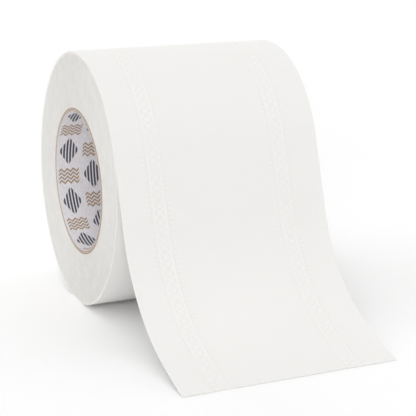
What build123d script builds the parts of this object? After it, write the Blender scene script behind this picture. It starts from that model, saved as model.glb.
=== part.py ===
from build123d import *
from math import atan2, cos, pi, radians, sin
import os

# A toilet paper roll lying on its side, with its loose end swept forward, in millimetres and degrees.
# X runs along the core, the loose end sweeps towards -Y, and +Z is up.
# The origin is on the core's axis, midway along it.

# Sheet
sheet_width = 100.0
sheet_thickness = 0.45

# Wound roll: a soft roll is a little oval, and it sits a little to the back of its core
roll_long_radius = 62.7
roll_short_radius = 56.9
roll_lean = 20.4
roll_set_back = 2.6
flat_spot_depth = 0.4

# Core: a board tube, with a printed ply glued round its inside in a spiral.
# The ply's seam starts at the left end, at an angle counted from the bottom towards the back
core_radius = 35.0
board_wall = 1.6
glue_film = 0.05
liner_wall = 0.2
liner_ply_width = 75.0
liner_seam_width = 0.4
liner_seam_start = 185.0

# Turns: a shallow spiral line on each end face, from the gap behind the loose end to the wraps on the core
spiral_turns = 4.5
turn_gap = 0.4
turn_line_depth = 0.3
core_wrap = 2.0

# Loose end: a straight hang, a bend, and a shallow landing. Leans are counted from straight down
hang_lean = 17.2
bend_radius = 69.6
landing_lean = 68.0
landing_height = 7.8
end_lean = 78.0

# Drawing: an oval turn is a chain of arcs, each through three points
arcs_per_turn = 8
cut_overrun = 1.0

oval_lean = radians(roll_lean)
leaving_lean = radians(hang_lean)


def oval_point(angle):
    """A point of the roll's outside, by its angle from straight up towards the back."""
    along_long = roll_long_radius * cos(angle + oval_lean)
    along_short = roll_short_radius * sin(angle + oval_lean)
    y = along_short * cos(oval_lean) - along_long * sin(oval_lean)
    z = along_long * cos(oval_lean) + along_short * sin(oval_lean)
    return Vector(roll_set_back + y, z)


def core_point(angle):
    """The point of the core that the paper is wound on, by the same angle."""
    return Vector(core_radius * sin(angle), core_radius * cos(angle))


def wound_point(angle, depth):
    """A point in the wound paper at a depth under the outside, measured towards the core."""
    outside = oval_point(angle)
    inwards = (core_point(angle) - outside).normalized()
    return outside + inwards * depth


def paper_depth(angle):
    """How much paper is wound on the core at an angle."""
    return (core_point(angle) - oval_point(angle)).length


# Where the sheet leaves the roll, its line touches the oval and leans forward from straight down
leaving_angle = (
    atan2(
        -roll_short_radius * cos(leaving_lean + oval_lean),
        roll_long_radius * sin(leaving_lean + oval_lean),
    )
    - oval_lean
)
hang_direction = Vector(-sin(leaving_lean), -cos(leaving_lean))
into_roll = Vector(cos(leaving_lean), -sin(leaving_lean))
leaving_point = oval_point(leaving_angle)
sheet_back = leaving_point + into_roll * sheet_thickness
crotch = leaving_point + into_roll * (sheet_thickness + turn_gap)


def roll_outline_points():
    """One turn from the crotch round the front, underside, back and top to where the sheet leaves."""
    points = [crotch]
    steps = 2 * arcs_per_turn
    for step in range(1, steps):
        depth = (sheet_thickness + turn_gap) * (1 - step / steps)
        points.append(wound_point(leaving_angle - 2 * pi * step / steps, depth))
    points.append(leaving_point)
    return points


def turn_line_points(start, depth_at_start):
    """One edge of the spiral line, from the crotch over the top and inwards to the core's first wraps."""
    points = [start]
    steps = 2 * round(arcs_per_turn * spiral_turns)
    for step in range(1, steps + 1):
        angle = leaving_angle + 2 * pi * spiral_turns * step / steps
        travel = paper_depth(angle) - core_wrap - sheet_thickness - turn_gap
        points.append(wound_point(angle, depth_at_start + travel * step / steps))
    return points


def arc_chain(points):
    """Arcs end to end, each through three of the points in turn."""
    return [ThreePointArc(*points[first : first + 3]) for first in range(0, len(points) - 2, 2)]


outline_points = roll_outline_points()
floor_level = min(point.Y for point in outline_points) + flat_spot_depth


def sheet_side(start, distance_behind):
    """The hang, bend and landing of one side of the loose sheet, as joined edges."""
    bend_drop = (bend_radius + sheet_thickness) * (sin(radians(landing_lean)) - sin(leaving_lean))
    hang_drop = sheet_back.Y - floor_level - bend_drop - landing_height
    landing_rise = sin(radians(end_lean)) - sin(radians(landing_lean))
    landing_radius = landing_height / landing_rise - sheet_thickness
    hang = Line(start, start + hang_direction * (hang_drop / cos(leaving_lean)))
    bend = JernArc(hang @ 1, hang % 1, bend_radius + distance_behind, hang_lean - landing_lean)
    landing = JernArc(bend @ 1, bend % 1, landing_radius + distance_behind, landing_lean - end_lean)
    return hang, bend, landing


def paper_section():
    """The paper seen from the end: the wound turns and the loose sheet as one closed outline."""
    wound = arc_chain(outline_points)
    front = sheet_side(leaving_point, 0)
    back = sheet_side(sheet_back, sheet_thickness)
    sheet_end = Line(front[2] @ 1, back[2] @ 1)
    crotch_wall = Line(sheet_back, crotch)
    section = make_face([*wound, *front, sheet_end, *back, crotch_wall])
    below_floor = Pos(roll_set_back, floor_level) * Rectangle(
        2 * roll_long_radius, roll_long_radius, align=(Align.CENTER, Align.MAX)
    )
    return section - below_floor - Circle(core_radius)


def turn_line_section():
    """The spiral line between turns, which runs out into the gap behind the loose sheet."""
    outer = turn_line_points(sheet_back, sheet_thickness)
    inner = turn_line_points(crotch, sheet_thickness + turn_gap)
    start_wall = Line(inner[0], outer[0])
    end_wall = Line(outer[-1], inner[-1])
    return make_face([*arc_chain(outer), end_wall, *arc_chain(inner), start_wall])


def make_paper_roll():
    paper = extrude(Plane.YZ * paper_section(), amount=sheet_width / 2, both=True)
    spiral = extrude(Plane.YZ * turn_line_section(), amount=turn_line_depth + cut_overrun)
    right_spiral = Pos(sheet_width / 2 - turn_line_depth, 0, 0) * spiral
    left_spiral = Pos(-sheet_width / 2 - cut_overrun, 0, 0) * spiral
    return paper - right_spiral - left_spiral


def tube(outer_radius, inner_radius):
    """A tube along X as long as the sheet is wide, because one saw cuts core and paper together."""
    ring = Circle(outer_radius) - Circle(inner_radius)
    return extrude(Plane.YZ * ring, amount=sheet_width / 2, both=True)


def make_core_tube():
    return tube(core_radius, core_radius - board_wall)


def make_core_liner():
    """The printed ply: a thin tube with an open butt seam that climbs along it in a helix."""
    outer_radius = core_radius - board_wall - glue_film
    seam_radius = outer_radius - liner_wall / 2
    seam_turn = 2 * pi * seam_radius
    seam_pitch = liner_ply_width * seam_turn / (seam_turn**2 - liner_ply_width**2) ** 0.5
    seam_length = sheet_width + 2 * cut_overrun
    path = Helix(seam_pitch, seam_length, seam_radius)
    across_wall = Plane(path @ 0, x_dir=(1, 0, 0), z_dir=path % 0)
    seam = sweep(across_wall * Rectangle(3 * liner_wall, liner_seam_width), path, is_frenet=True)
    seam = Pos(-seam_length / 2, 0, 0) * Rot(liner_seam_start, 0, 0) * Rot(0, 90, 0) * seam
    return tube(outer_radius, outer_radius - liner_wall) - seam


os.makedirs("parts", exist_ok=True)
export_step(make_paper_roll(), "parts/paper_roll.step")
export_step(make_core_tube(), "parts/core_tube.step")
export_step(make_core_liner(), "parts/core_liner.step")
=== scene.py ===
import math

import bmesh
import bpy
import numpy as np
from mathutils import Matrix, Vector


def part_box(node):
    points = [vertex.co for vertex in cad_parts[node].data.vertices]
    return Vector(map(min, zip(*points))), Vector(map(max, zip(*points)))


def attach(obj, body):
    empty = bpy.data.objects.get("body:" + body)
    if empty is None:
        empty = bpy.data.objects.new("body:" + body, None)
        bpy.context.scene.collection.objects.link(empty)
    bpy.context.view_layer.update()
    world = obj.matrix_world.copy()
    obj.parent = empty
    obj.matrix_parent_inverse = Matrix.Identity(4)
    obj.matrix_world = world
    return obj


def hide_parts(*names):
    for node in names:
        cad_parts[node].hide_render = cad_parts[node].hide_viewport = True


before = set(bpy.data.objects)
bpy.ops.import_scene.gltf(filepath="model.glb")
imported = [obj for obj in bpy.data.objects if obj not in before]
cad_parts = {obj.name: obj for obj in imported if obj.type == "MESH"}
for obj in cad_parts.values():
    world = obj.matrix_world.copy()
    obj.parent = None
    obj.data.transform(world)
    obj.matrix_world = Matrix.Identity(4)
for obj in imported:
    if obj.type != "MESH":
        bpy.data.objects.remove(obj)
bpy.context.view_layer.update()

# A toilet paper roll that lies on its side, with its loose end swept forward. Metres, +Z up, core along X.
# The sheet and the wound turns are modelled flat, as they are before winding, and then wound onto the core.

MM = 0.001

# Sizes that the solids give
paper_low, paper_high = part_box("paper_roll")
half_width = paper_high.x
floor_level = paper_low.z
core_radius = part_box("core_tube")[1].y
liner_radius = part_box("core_liner")[1].y

# Wound roll: an oval that leans back and sits a little to the back of its core
sheet_thickness = 0.45 * MM
roll_long_radius = 62.7 * MM
roll_short_radius = 56.9 * MM
roll_lean = math.radians(20.4)
roll_set_back = 2.6 * MM
turn_count = 55

# Loose end: a straight hang, a bend and a shallow landing, with leans counted from straight down
hang_lean = math.radians(17.2)
bend_radius = 69.6 * MM
landing_lean = math.radians(68.0)
landing_height = 7.8 * MM
end_lean = math.radians(78.0)

# The sheet goes one turn round the roll and a little way in under itself. Its line is traced in short steps.
# It lies under the roll where the direction into the roll points up by more than the slope
tuck_share = 0.04
wound_thickness_share = 0.9
thinning_length = 6 * MM
path_step = 0.25 * MM
arc_points = 200
turn_points = 3000
underside_slope = 0.7

# Edges of the turns on the end faces: a valley between two turns, and the two sides of each crest.
# The crests wander in and out, in another way on the other end, and the loose turns nearest the outside
# carry a painted highlight
steps_round = 144
crest_shares = (0.0, 0.3, 0.7)
edge_recess = 0.04 * MM
edge_valley = 0.10 * MM
edge_wander = 0.05 * MM
wander_turns = 1.4
wander_shift = 300
rim_highlight_turns = 2.5

# Cleaning and smoothing of the meshes
merge_distance = 0.002 * MM
sliver_size = 0.001 * MM
smooth_angle = math.radians(50)

# Emboss: two bands along the sheet, placed a little left of its middle. Each is a chain of links between
# dotted lines, on a grid of cells of which some are dimples
band_offset = 31.0 * MM
band_shift = -1.0 * MM
band_width = 11.2 * MM
band_columns = 10
link_rows = 7
dimple_rim = 0.12 * MM
dimple_depth = 0.2 * MM
plain_columns = 4
rows_a_length = 16
# Strength of the painted emboss shading: shade in the dimples and highlight on the cells between them
emboss_paint_strength = 0.25

# Slight waves in the loose end, all over and near its two sides. They swell in the middle of its length,
# and a share of them reaches its cut edge. The sheet's two sides are a little frayed
wave_height = 0.12 * MM
wave_length = 28 * MM
side_lift = 0.2 * MM
cut_edge_share = 0.3
wave_swell = 4
fray_depth = 0.06 * MM
fray_length = 9 * MM

# Core board: the plies on its cut edge, a painted shadow at the outside where the wound paper meets it, and
# a dark joint ply at the inside
board_ply = 0.4 * MM
gap_shadow_width = 0.35 * MM
inner_dark_ply = 0.25 * MM

# Printed ply: a half-drop repeat on the inside of the tube, of one hatched lozenge and four zigzag lines
print_pitch_along = 12.5 * MM
prints_round = 8
lozenge_half_along = 5.1 * MM
lozenge_half_round = 7.6 * MM
lozenge_place = 4.9 * MM
hatch_pitch = 1.6 * MM
hatch_gap = 0.6 * MM
zigzag_half_along = 5.2 * MM
zigzag_height = 1.6 * MM
zigzag_half_stroke = 0.55 * MM
zigzag_places = (-5.2 * MM, -7.1 * MM, -9.0 * MM, -10.9 * MM)
ink_strength = 0.95

# Floor and surround
floor_size = 12
floor_drop = 0.02 * MM
floor_white = 0.98
surround_strength = 0.175

# Lamps: strength, spread in degrees, and the direction that each stands in from the roll
lamps = {
    "camera_side_lamp": (1.18, 36, (-0.395, -0.883, 0.253)),
    "top_lamp": (1.16, 60, (0, -0.05, 1)),
    "near_end_lamp": (0.5, 60, (-0.6, 0, 0.8)),
    "low_near_end_lamp": (0.84, 60, (-0.9, 0.4, 0.2)),
    "low_far_end_lamp": (0.72, 60, (0.9, 0, 0.3)),
    "back_lamp": (0.84, 60, (0.15, 0.85, 0.42)),
}

# Camera: the photograph's view, from the front left and a little above
camera_azimuth = math.radians(-23.92)
camera_elevation = math.radians(14.75)
camera_distance = 645.9 * MM
camera_target = Vector((19.14 * MM, 2.6 * MM, -21.19 * MM))
camera_lens = 110.99


def oval_point(angle):
    """The roll's outside, by the angle from straight up towards the back, as y and z."""
    along_long = roll_long_radius * np.cos(angle + roll_lean)
    along_short = roll_short_radius * np.sin(angle + roll_lean)
    y = roll_set_back + along_short * math.cos(roll_lean) - along_long * math.sin(roll_lean)
    z = along_long * math.cos(roll_lean) + along_short * math.sin(roll_lean)
    return np.stack([y, z], axis=-1)


def core_point(angle):
    """The place on the core under the same angle."""
    return core_radius * np.stack([np.sin(angle), np.cos(angle)], axis=-1)


# The sheet's line touches the oval where it leaves the roll
leaving_angle = math.atan2(
    -roll_short_radius * math.cos(hang_lean + roll_lean),
    roll_long_radius * math.sin(hang_lean + roll_lean),
) - roll_lean


def turn_angle(turns):
    """The angle that a number of turns round from the leaving point comes to."""
    return leaving_angle + 2 * math.pi * turns


def wound_point(turns, depth):
    """A place in the wound paper, some turns round from the leaving point and some turns deep."""
    share = np.minimum(depth / turn_count, 1.0)[..., None]
    return oval_point(turn_angle(turns)) * (1 - share) + core_point(turn_angle(turns)) * share


def loose_arc(start, radius, first_lean, last_lean):
    """Points of an arc that starts at a lean and ends at another, from its start downwards."""
    lean = np.linspace(first_lean, last_lean, arc_points)
    y = start[0] + radius * (np.cos(lean) - math.cos(first_lean))
    z = start[1] - radius * (np.sin(lean) - math.sin(first_lean))
    return np.stack([y, z], axis=-1)


def loose_line():
    """The outer face of the loose end, from its cut edge up to the leaving point."""
    leaving_point = oval_point(np.float64(leaving_angle))
    landing_rise = math.sin(end_lean) - math.sin(landing_lean)
    landing_radius = landing_height / landing_rise - sheet_thickness
    bend_drop = (bend_radius + sheet_thickness) * (math.sin(landing_lean) - math.sin(hang_lean))
    sheet_back = leaving_point[1] - sheet_thickness * math.sin(hang_lean)
    hang_drop = sheet_back - floor_level - bend_drop - landing_height
    hang_end = leaving_point - hang_drop * np.array([math.tan(hang_lean), 1.0])
    bend = loose_arc(hang_end, bend_radius, hang_lean, landing_lean)
    landing = loose_arc(bend[-1], landing_radius, landing_lean, end_lean)
    return np.concatenate([[leaving_point], bend, landing[1:]])[::-1]


def spaced_evenly(points, step):
    """The same line in even steps, and the distance of each point from the start."""
    lengths = np.linalg.norm(np.diff(points, axis=0), axis=1)
    distance = np.concatenate([[0.0], np.cumsum(lengths)])
    even = np.linspace(0, distance[-1], round(distance[-1] / step))
    return np.stack([np.interp(even, distance, points[:, axis]) for axis in (0, 1)], axis=-1), even


class SheetPath:
    """The line that the sheet follows: the loose end, one turn round the roll, and the tuck."""

    def __init__(self):
        loose = loose_line()
        turns = np.linspace(0, 1 + tuck_share, turn_points)
        wound = wound_point(turns, turns)
        self.loose_length = spaced_evenly(loose, path_step)[1][-1]
        self.points, self.distance = spaced_evenly(np.concatenate([loose, wound[1:]]), path_step)
        self.length = self.distance[-1]
        along = np.gradient(self.points, axis=0)
        along /= np.linalg.norm(along, axis=1)[:, None]
        self.inward = np.stack([along[:, 1], -along[:, 0]], axis=-1)
        self.thickness = self.thicknesses(wound, turns)

    def thicknesses(self, wound, turns):
        """Full in the loose end, and pressed to a little less than a turn's pitch in the roll."""
        angle = turn_angle(turns)
        pitch = (core_point(angle) - oval_point(angle)) / turn_count
        lengths = np.linalg.norm(np.diff(wound, axis=0), axis=1)
        distance = self.loose_length + np.concatenate([[0.0], np.cumsum(lengths)])
        inward = np.stack([self.at(distance, self.inward[:, axis]) for axis in (0, 1)], axis=-1)
        pressed = wound_thickness_share * np.sum(pitch * inward, axis=1)
        places = np.concatenate([[0.0, self.loose_length - thinning_length], distance])
        values = np.concatenate([[sheet_thickness, sheet_thickness], pressed])
        return np.interp(self.distance, places, values)

    def at(self, distance, values):
        """The values of the line's own points, read at other distances along it."""
        return np.interp(distance, self.distance, values)

    def place(self, distance, depth_share):
        """Where a point of the flat sheet lies, as y and z. Its depth is a share of the thickness."""
        depth = depth_share * self.at(distance, self.thickness)
        y = self.at(distance, self.points[:, 0]) + depth * self.at(distance, self.inward[:, 0])
        z = self.at(distance, self.points[:, 1]) + depth * self.at(distance, self.inward[:, 1])
        return y, z


path = SheetPath()


def pressed_on_floor(y, z):
    """The roll's own weight flattens its underside: the turns above the floor press together."""
    wound = path.distance > path.loose_length
    under = wound & (path.inward[:, 1] > underside_slope)
    order = np.argsort(path.points[under, 0])
    outline = np.interp(y, path.points[under, 0][order], path.points[under, 1][order])
    sinking = np.maximum(floor_level - outline, 0)
    share = np.clip((z + core_radius) / (outline + core_radius), 0, None)
    return np.where(z < -core_radius, z + sinking * np.minimum(share, 1.0), z)


def soft_noise(values, seed, smoothness):
    """Gentle random swings between -1 and 1 along a line of values."""
    count = 4000
    start = 1000
    swings = np.random.default_rng(seed).uniform(-1, 1, count)
    place = values / smoothness + start
    low = np.floor(place).astype(int) % count
    blend = place - np.floor(place)
    blend = blend * blend * (3 - 2 * blend)
    return swings[low] * (1 - blend) + swings[(low + 1) % count] * blend


def corners(piece):
    """All the vertex places of a piece, one row each."""
    places = np.empty(len(piece.data.vertices) * 3)
    piece.data.vertices.foreach_get("co", places)
    return places.reshape(-1, 3)


def move_corners(piece, x, y, z):
    piece.data.vertices.foreach_set("co", np.stack([x, y, z], axis=-1).ravel())
    piece.data.update()


def work_on(piece):
    bpy.ops.object.select_all(action="DESELECT")
    piece.select_set(True)
    bpy.context.view_layer.objects.active = piece


def added(name):
    """The piece that a primitive has just made, with its size and place moved into its mesh."""
    piece = bpy.context.object
    piece.name = name
    work_on(piece)
    bpy.ops.object.transform_apply(location=True, rotation=True, scale=True)
    return piece


def select_faces(piece, rule):
    """In edit mode, selects the faces whose middle and normal the rule accepts."""
    bpy.ops.mesh.select_mode(type="FACE")
    bpy.ops.mesh.select_all(action="DESELECT")
    mesh = bmesh.from_edit_mesh(piece.data)
    for face in mesh.faces:
        face.select_set(bool(rule(face.calc_center_median(), face.normal)))
    bmesh.update_edit_mesh(piece.data)


def select_edges(piece, rule):
    """In edit mode, selects the edges whose two ends the rule accepts."""
    bpy.ops.mesh.select_mode(type="EDGE")
    bpy.ops.mesh.select_all(action="DESELECT")
    mesh = bmesh.from_edit_mesh(piece.data)
    for edge in mesh.edges:
        edge.select_set(bool(rule(edge.verts[0].co, edge.verts[1].co)))
    bmesh.update_edit_mesh(piece.data)


def keep_flat_map(piece, across, along):
    """Stores two flat coordinates of every corner as a UV map, for patterns that follow the sheet."""
    layer = piece.data.uv_layers.active or piece.data.uv_layers.new()
    layer.name = "flat"
    corner = np.empty(len(piece.data.loops), dtype=int)
    piece.data.loops.foreach_get("vertex_index", corner)
    layer.data.foreach_set("uv", np.stack([across[corner], along[corner]], axis=-1).ravel())


def smooth(piece):
    work_on(piece)
    bpy.ops.object.shade_smooth_by_angle(angle=smooth_angle)


def band_edges():
    """Across the sheet, the places of the lines between the columns of its bands and plain strips."""
    places = []
    borders = [-half_width]
    for middle in (band_shift - band_offset, band_shift + band_offset):
        places += list(middle + np.linspace(-band_width / 2, band_width / 2, band_columns + 1))
        borders += [middle - band_width / 2, middle + band_width / 2]
    borders.append(half_width)
    for low, high in zip(borders[0::2], borders[1::2]):
        places += list(np.linspace(low, high, plain_columns + 1)[1:-1])
    return sorted(places)


cell_width = band_width / band_columns
row_count = rows_a_length * round(path.length / (rows_a_length * cell_width))
cell_length = path.length / row_count


def cell_place(across, along):
    """The column and row of a band's grid at a place on the flat sheet. Takes numbers or levels."""
    column = (abs(across - band_shift) - band_offset) / cell_width + band_columns / 2
    row = (along + path.length / 2) / cell_length
    return column, row


def between(value, low, high):
    return (value > low) * (value < high)


def is_dimple(column, row):
    """1 where a cell is pressed in, and 0 elsewhere: links in the middle, and two lines on each side."""
    # The middle of a cell lies 0.5, 1.5, 2.5, 3.5 or 4.5 columns to the side of the band's middle
    side = abs(math.floor(column) - (band_columns - 1) / 2)
    link_row = abs(math.floor(row) % link_rows - (link_rows - 1) / 2)
    every_other_row = math.floor(row) % 2 < 0.5
    outer_line = between(side, 4, 5) * every_other_row
    inner_line = between(side, 3, 4)
    link_end = (link_row > 2.5) + (link_row < 0.5)
    links = (side < 1) * link_end + between(side, 1, 2) * (1 - link_end)
    return outer_line + inner_line + links


def make_outer_sheet():
    """The loose end and the outermost turn: one embossed sheet, pressed flat and then wound."""
    bpy.ops.mesh.primitive_plane_add(size=1)
    bpy.context.object.scale = (2 * half_width, path.length, 1)
    sheet = added("outer_sheet")
    bpy.ops.object.mode_set(mode="EDIT")
    for place in band_edges():
        bpy.ops.mesh.select_all(action="SELECT")
        bpy.ops.mesh.bisect(plane_co=(place, 0, 0), plane_no=(1, 0, 0))
    for cuts in (row_count // rows_a_length, rows_a_length):
        select_edges(sheet, lambda one, other: abs(one.y - other.y) > abs(one.x - other.x))
        bpy.ops.mesh.subdivide(number_cuts=cuts - 1)
    select_faces(sheet, lambda middle, normal: is_dimple(*cell_place(middle.x, middle.y)))
    bpy.ops.mesh.inset(thickness=dimple_rim, use_individual=True)
    bpy.ops.mesh.poke(offset=-dimple_depth)
    bpy.ops.object.mode_set(mode="OBJECT")
    flat = corners(sheet)
    keep_flat_map(sheet, flat[:, 0], flat[:, 1])
    thickness = sheet.modifiers.new("thickness", "SOLIDIFY")
    thickness.thickness = sheet_thickness
    thickness.offset = -1
    bpy.ops.object.modifier_apply(modifier="thickness")
    wind_sheet(sheet)
    smooth(sheet)
    return sheet


def wind_sheet(sheet):
    """Lays the flat sheet along its path, with slight waves between its cut end and the roll."""
    flat = corners(sheet)
    distance = flat[:, 1] + path.length / 2
    y, z = path.place(distance, -flat[:, 2] / sheet_thickness)
    share = np.clip(distance / path.loose_length, 0, 1)
    side = flat[:, 0] / half_width
    ripple = 1 + soft_noise(flat[:, 0], seed=7, smoothness=wave_length)
    wave = wave_height * ripple + side_lift * side**4
    wave *= (1 - share) * (cut_edge_share + wave_swell * share)
    y -= wave * path.at(distance, path.inward[:, 0])
    z -= wave * path.at(distance, path.inward[:, 1])
    z = pressed_on_floor(y, z)
    fray = soft_noise(distance, seed=11, smoothness=fray_length) - 1
    x = flat[:, 0] + fray_depth * side**9 * fray
    move_corners(sheet, x, y, z)


def make_wound_turns():
    """All the turns under the outermost one, with the edge of every turn raised on both end faces."""
    rows = len(crest_shares) * turn_count
    # Just inside the sides of a grid of size 1
    near_side = 0.4999
    bpy.ops.mesh.primitive_grid_add(x_subdivisions=steps_round, y_subdivisions=rows, size=1)
    turns = added("wound_turns")
    bpy.ops.object.mode_set(mode="EDIT")
    bpy.ops.mesh.select_all(action="SELECT")
    bpy.ops.mesh.extrude_region_move(TRANSFORM_OT_translate={"value": (0, 0, 1)})
    select_faces(turns, lambda middle, normal: abs(middle.x) > near_side)
    bpy.ops.mesh.delete(type="FACE")
    bpy.ops.object.mode_set(mode="OBJECT")
    wind_turns(turns, rows)
    work_on(turns)
    bpy.ops.object.mode_set(mode="EDIT")
    bpy.ops.mesh.select_all(action="SELECT")
    bpy.ops.mesh.remove_doubles(threshold=merge_distance)
    bpy.ops.mesh.dissolve_degenerate(threshold=sliver_size)
    bpy.ops.mesh.select_all(action="SELECT")
    bpy.ops.mesh.fill_holes(sides=0)
    bpy.ops.mesh.select_all(action="SELECT")
    bpy.ops.mesh.normals_make_consistent(inside=False)
    bpy.ops.object.mode_set(mode="OBJECT")
    smooth(turns)
    return turns


def wind_turns(turns, rows):
    """Winds the flat grid: across it goes once round, and up it goes in from turn to turn."""
    flat = corners(turns)
    row = np.rint((flat[:, 1] + 0.5) * rows).astype(int)
    crest = np.array(crest_shares)[row % len(crest_shares)]
    round_share = np.rint((flat[:, 0] + 0.5) * steps_round) / steps_round
    depth = 1 + tuck_share + round_share + row // len(crest_shares) + crest
    y, z = wound_point(tuck_share + round_share, depth).T
    on_core = depth >= turn_count
    valley = on_core | (row % len(crest_shares) == 0)
    end = np.where(flat[:, 2] > 0.5, 1, -1)
    swing = soft_noise(depth + wander_shift * (end > 0), seed=3, smoothness=wander_turns)
    wander = edge_wander * (0.5 + 0.5 * swing) * ~on_core
    x = end * (half_width - edge_recess - wander - edge_valley * valley)
    keep_flat_map(turns, depth, end * round_share)
    move_corners(turns, x, y, pressed_on_floor(y, z))


class Level:
    """One output of a node, such as a number that varies over a surface. Sums with it add Math nodes."""

    def __init__(self, tree, socket):
        self.tree = tree
        self.socket = socket

    def math(self, operation, *others):
        values = dict(enumerate((self, *others)))
        return self.tree.node("ShaderNodeMath", {"operation": operation}, values)

    def __add__(self, other):
        return self.math("ADD", other)

    def __radd__(self, other):
        return self.math("ADD", other)

    def __sub__(self, other):
        return self.math("SUBTRACT", other)

    def __rsub__(self, other):
        return (self * -1) + other

    def __mul__(self, other):
        return self.math("MULTIPLY", other)

    def __rmul__(self, other):
        return self.math("MULTIPLY", other)

    def __truediv__(self, other):
        return self.math("DIVIDE", other)

    def __lt__(self, other):
        return self.math("LESS_THAN", other)

    def __gt__(self, other):
        return self.math("GREATER_THAN", other)

    def __mod__(self, other):
        return self.math("FLOORED_MODULO", other)

    def __abs__(self):
        return self.math("ABSOLUTE")

    def __floor__(self):
        return self.math("FLOOR")

    def zigzag(self, width):
        return self.math("PINGPONG", width)

    def out(self, name):
        """Another output of the node that this one comes from."""
        return Level(self.tree, self.socket.node.outputs[name])


class NodeTree:
    """The nodes of a finish or of the surround, with one method that adds any of them."""

    def __init__(self, tree):
        self.tree = tree

    def node(self, kind, settings=None, values=None):
        """Adds a node with its settings, and fills or links its sockets. Returns its first output."""
        node = self.tree.nodes.new(kind)
        for name, value in (settings or {}).items():
            if name == "stops":
                self.set_stops(node, value)
            else:
                setattr(node, name, value)
        for socket, value in (values or {}).items():
            self.connect(node.inputs[socket], value)
        shown = [output for output in node.outputs if output.enabled]
        return Level(self, shown[0]) if shown else None

    def set_stops(self, node, stops):
        ramp = node.color_ramp
        while len(ramp.elements) < len(stops):
            ramp.elements.new(0.5)
        for element, (place, colour) in zip(ramp.elements, stops):
            element.position = place
            element.color = (*colour, 1)

    def connect(self, socket, value):
        if isinstance(value, Level):
            self.tree.links.new(value.socket, socket)
        else:
            socket.default_value = value


class Finish(NodeTree):
    """A material on the principled shader."""

    def __init__(self, name, **constants):
        self.material = bpy.data.materials.new(name)
        self.material.use_nodes = True
        super().__init__(self.material.node_tree)
        self.shader = self.tree.nodes["Principled BSDF"]
        for socket, value in constants.items():
            self.set(socket.replace("_", " "), value)

    def set(self, socket, value):
        self.connect(self.shader.inputs[socket], value)

    def ramp(self, level, *stops):
        return self.node("ShaderNodeValToRGB", {"stops": stops}, {0: level})

    def mix(self, share, first, second):
        """Two colours mixed by a level. Sockets 6 and 7 of the node are its colours."""
        return self.node("ShaderNodeMix", {"data_type": "RGBA"}, {"Factor": share, 6: first, 7: second})

    def noise(self, place, scale, detail):
        return self.node("ShaderNodeTexNoise", {}, {"Vector": place, "Scale": scale, "Detail": detail})

    def stretched(self, place, scale):
        """The same coordinates, stretched apart on each axis."""
        return self.node("ShaderNodeMapping", {}, {"Vector": place, "Scale": scale})

    def object_place(self):
        return self.node("ShaderNodeTexCoord").out("Object")

    def flat_place(self):
        return self.node("ShaderNodeUVMap", {"uv_map": "flat"})

    def axes(self, place):
        """The coordinates of a place, each as a level."""
        split = self.node("ShaderNodeSeparateXYZ", {}, {0: place})
        return split, split.out("Y"), split.out("Z")

    def bump(self, height, distance, strength):
        values = {"Height": height, "Distance": distance, "Strength": strength}
        self.set("Normal", self.node("ShaderNodeBump", {}, values))


def srgb(red, green, blue):
    """A colour as linear light, from the 0 to 255 values that a screen shows."""
    shares = [channel / 255 for channel in (red, green, blue)]
    return tuple(s / 12.92 if s <= 0.04045 else ((s + 0.055) / 1.055) ** 2.4 for s in shares)


def opaque(colour):
    return (*colour, 1)


def tissue_finish():
    """Soft white creped tissue: fine creases across the sheet. In the embossed bands, painted shade in the
    middles of the dimples, partly also denser pressed paper, and a painted highlight on the cells between
    them.
    """
    finish = Finish("tissue", Roughness=0.92, Specular_IOR_Level=0.25)
    flat = finish.flat_place()
    creases = finish.noise(finish.stretched(flat, (300, 2400, 1)), scale=1.0, detail=3.0)
    fibres = finish.noise(finish.object_place(), scale=1800.0, detail=4.0)
    level = creases * 0.5 + fibres * 0.5
    tone = finish.ramp(level, (0.3, srgb(237, 236, 234)), (0.7, srgb(240, 239, 237)))
    ridge_highlight, dimple_shade = painted_emboss_shading(finish, flat)
    patches = finish.noise(flat, scale=90.0, detail=3.0)
    clearness = finish.ramp(patches, (0.35, (0.2, 0.2, 0.2)), (0.65, (1, 1, 1))) * emboss_paint_strength
    # Painted highlight: the band's cells between the dimples are lighter than the rest of the sheet
    raised = finish.mix(ridge_highlight * clearness, tone, opaque(srgb(249, 248, 246)))
    # Painted shade in the middles of the dimples, partly also the greyer look of pressed paper
    finish.set("Base Color", finish.mix(dimple_shade * clearness, raised, opaque(srgb(222, 221, 218))))
    finish.bump(creases * 0.6 + fibres * 0.4, distance=0.04 * MM, strength=0.5)
    return finish.material


def painted_emboss_shading(finish, flat):
    """Two levels on the sheet's own grid: the cells between the dimples, which take a painted highlight, and
    the middles of the dimples, which take painted shade.
    """
    across, along = finish.axes(flat)[:2]
    column, row = cell_place(across, along)
    dimple = is_dimple(column, row)
    in_band = abs(column - band_columns / 2) < band_columns / 2
    off_column = column % 1 - 0.5
    off_row = row % 1 - 0.5
    # The painted shade of a dimple fades out a little under half a cell away from its middle
    reach_squared = 0.22
    sharpness = 8
    dimple_shade = (reach_squared - (off_column * off_column + off_row * off_row)) * sharpness
    return in_band * (1 - dimple), dimple_shade.math("MAXIMUM", 0.0).math("MINIMUM", 1.0) * dimple


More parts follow.
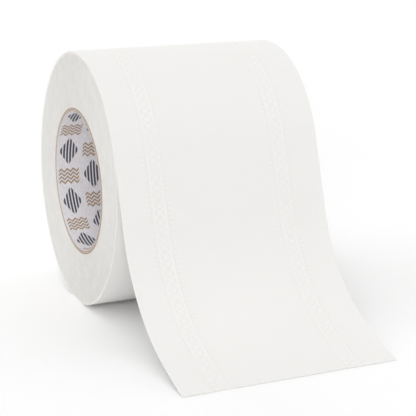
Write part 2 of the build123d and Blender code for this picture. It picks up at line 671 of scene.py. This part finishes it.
def turn_edge_finish():
    """The cut edges of the turns: darker than the sheet as painted shade of the gaps between them, with soft
    blotches, and a painted highlight on the loose turns nearest the outside.
    """
    finish = Finish("tissue_edges", Roughness=0.96, Specular_IOR_Level=0.2)
    flat = finish.flat_place()
    place = finish.object_place()
    turn_tone = finish.noise(finish.stretched(flat, (1.3, 0.6, 1)), scale=1.0, detail=3.0)
    fibres = finish.noise(place, scale=1500.0, detail=4.0)
    blotches = finish.noise(place, scale=160.0, detail=3.0)
    level = turn_tone * 0.35 + blotches * 0.4 + fibres * 0.25
    # Painted shade of the gaps between the turns: the end faces are darker than the sheet
    tone = finish.ramp(level, (0.3, srgb(213, 211, 207)), (0.7, srgb(228, 226, 223)))
    depth = finish.axes(flat)[0]
    # Painted highlight along the rim: the loose turns nearest the outside are lightened towards the sheet's
    # tone
    rim_highlight = (1 - (depth - 1) / rim_highlight_turns).math("MAXIMUM", 0.0)
    finish.set("Base Color", finish.mix(rim_highlight, tone, opaque(srgb(240, 238, 235))))
    finish.bump(fibres, distance=0.08 * MM, strength=0.6)
    return finish.material


def core_board_finish():
    """Raw kraft board: thin plies on its cut edge, with a painted shadow along its outside where the wound
    paper meets it, and a dark joint ply along its inside.
    """
    finish = Finish("core_board", Roughness=0.88, Specular_IOR_Level=0.25)
    place = finish.object_place()
    y, z = finish.axes(place)[1:]
    radius = (y * y + z * z).math("SQRT")
    plies = radius % board_ply / board_ply
    fibres = finish.noise(place, scale=900.0, detail=4.0)
    level = fibres * 0.75 + plies * 0.25
    tone = finish.ramp(level, (0.25, srgb(168, 152, 138)), (0.75, srgb(196, 182, 170)))
    # Painted shadow of the gap between the board and the wound paper, at the board's outside
    outermost = radius > core_radius - gap_shadow_width
    innermost = radius < liner_radius + inner_dark_ply
    # The painted gap shadow and the dark inner joint share one dark colour
    gap_shadow_and_joint = (outermost + innermost) * 0.6
    finish.set("Base Color", finish.mix(gap_shadow_and_joint, tone, opaque(srgb(128, 104, 86))))
    finish.bump(fibres, distance=0.1 * MM, strength=0.6)
    return finish.material


def printed_ply_finish():
    """Silver-grey printed ply: hatched navy lozenges and tan zigzags in a half-drop repeat."""
    finish = Finish("printed_ply", Roughness=0.5, Specular_IOR_Level=0.45)
    place = finish.object_place()
    x, y, z = finish.axes(place)
    pitch_round = 2 * math.pi * liner_radius / prints_round
    round_length = y.math("ARCTAN2", z) * liner_radius
    column = math.floor(x / print_pitch_along)
    along = x % print_pitch_along - print_pitch_along / 2
    dropped = round_length + column % 2 * (pitch_round / 2)
    around = dropped % pitch_round - pitch_round / 2
    lozenge_reach = abs(along) / lozenge_half_along + abs(around - lozenge_place) / lozenge_half_round
    hatch = (along + hatch_gap / 2) % hatch_pitch > hatch_gap
    navy = (lozenge_reach < 1) * hatch
    swing = (along + zigzag_height / 2).zigzag(zigzag_height) - zigzag_height / 2
    lines = sum(abs(around - line - swing) < zigzag_half_stroke for line in zigzag_places)
    tan = lines * (abs(along) < zigzag_half_along)
    mottle = finish.noise(place, scale=700.0, detail=4.0)
    ply = finish.ramp(mottle, (0.3, srgb(222, 219, 222)), (0.7, srgb(235, 233, 237)))
    with_tan = finish.mix(tan * ink_strength, ply, opaque(srgb(166, 138, 108)))
    with_navy = finish.mix(navy * ink_strength, with_tan, opaque(srgb(46, 49, 68)))
    finish.set("Base Color", with_navy)
    finish.bump(mottle, distance=0.05 * MM, strength=0.4)
    return finish.material


def dress(piece, material):
    piece.data.materials.clear()
    piece.data.materials.append(material)


def make_floor():
    """A plain white floor that keeps the roll's soft shadow."""
    bpy.ops.mesh.primitive_plane_add(size=floor_size, location=(0, 0, floor_level - floor_drop))
    floor = added("floor")
    finish = Finish("floor_white", Roughness=1.0, Specular_IOR_Level=0.0)
    finish.set("Base Color", opaque((floor_white, floor_white, floor_white)))
    dress(floor, finish.material)


def make_lamp(name, energy, spread, direction):
    """A wide, soft white lamp a long way off, in a direction from the roll."""
    lamp = bpy.data.lights.new(name, "SUN")
    lamp.energy = energy
    lamp.angle = math.radians(spread)
    holder = bpy.data.objects.new(name, lamp)
    bpy.context.scene.collection.objects.link(holder)
    holder.rotation_euler = Vector(direction).to_track_quat("Z", "Y").to_euler()


def make_surround():
    """Plain white to the eye, to mirrors and to glass, and a faint white light on the roll."""
    world = bpy.data.worlds.new("surround")
    bpy.context.scene.world = world
    world.use_nodes = True
    world.node_tree.nodes.clear()
    surround = NodeTree(world.node_tree)
    ray = surround.node("ShaderNodeLightPath")
    seen_ray = ray.out("Is Camera Ray")
    for kind in ("Is Glossy Ray", "Is Transmission Ray"):
        seen_ray = seen_ray.math("MAXIMUM", ray.out(kind))
    white = opaque((1, 1, 1))
    lighting = surround.node("ShaderNodeBackground", {}, {"Color": white, "Strength": surround_strength})
    seen = surround.node("ShaderNodeBackground", {}, {"Color": white, "Strength": 1.0})
    both = surround.node("ShaderNodeMixShader", {}, {0: seen_ray, 1: lighting, 2: seen})
    surround.node("ShaderNodeOutputWorld", {}, {"Surface": both})


def make_camera():
    """A camera that stands back from its target, in the direction of its azimuth and elevation."""
    back = Vector((
        math.sin(camera_azimuth) * math.cos(camera_elevation),
        -math.cos(camera_azimuth) * math.cos(camera_elevation),
        math.sin(camera_elevation),
    ))
    lens = bpy.data.cameras.new("camera")
    lens.lens = camera_lens
    lens.sensor_width = 36
    lens.clip_start = 10 * MM
    camera = bpy.data.objects.new("camera", lens)
    bpy.context.scene.collection.objects.link(camera)
    camera.location = camera_target + back * camera_distance
    camera.rotation_euler = back.to_track_quat("Z", "Y").to_euler()
    bpy.context.scene.camera = camera


bpy.context.scene.view_settings.view_transform = "Standard"
make_camera()
make_surround()
for name, (energy, spread, direction) in lamps.items():
    make_lamp(name, energy, spread, direction)
make_floor()

outer_sheet = make_outer_sheet()
dress(outer_sheet, tissue_finish())
wound_turns = make_wound_turns()
dress(wound_turns, turn_edge_finish())
for piece in (outer_sheet, wound_turns):
    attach(piece, "root")
    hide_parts("paper_roll")

dress(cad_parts["core_tube"], core_board_finish())
dress(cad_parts["core_liner"], printed_ply_finish())
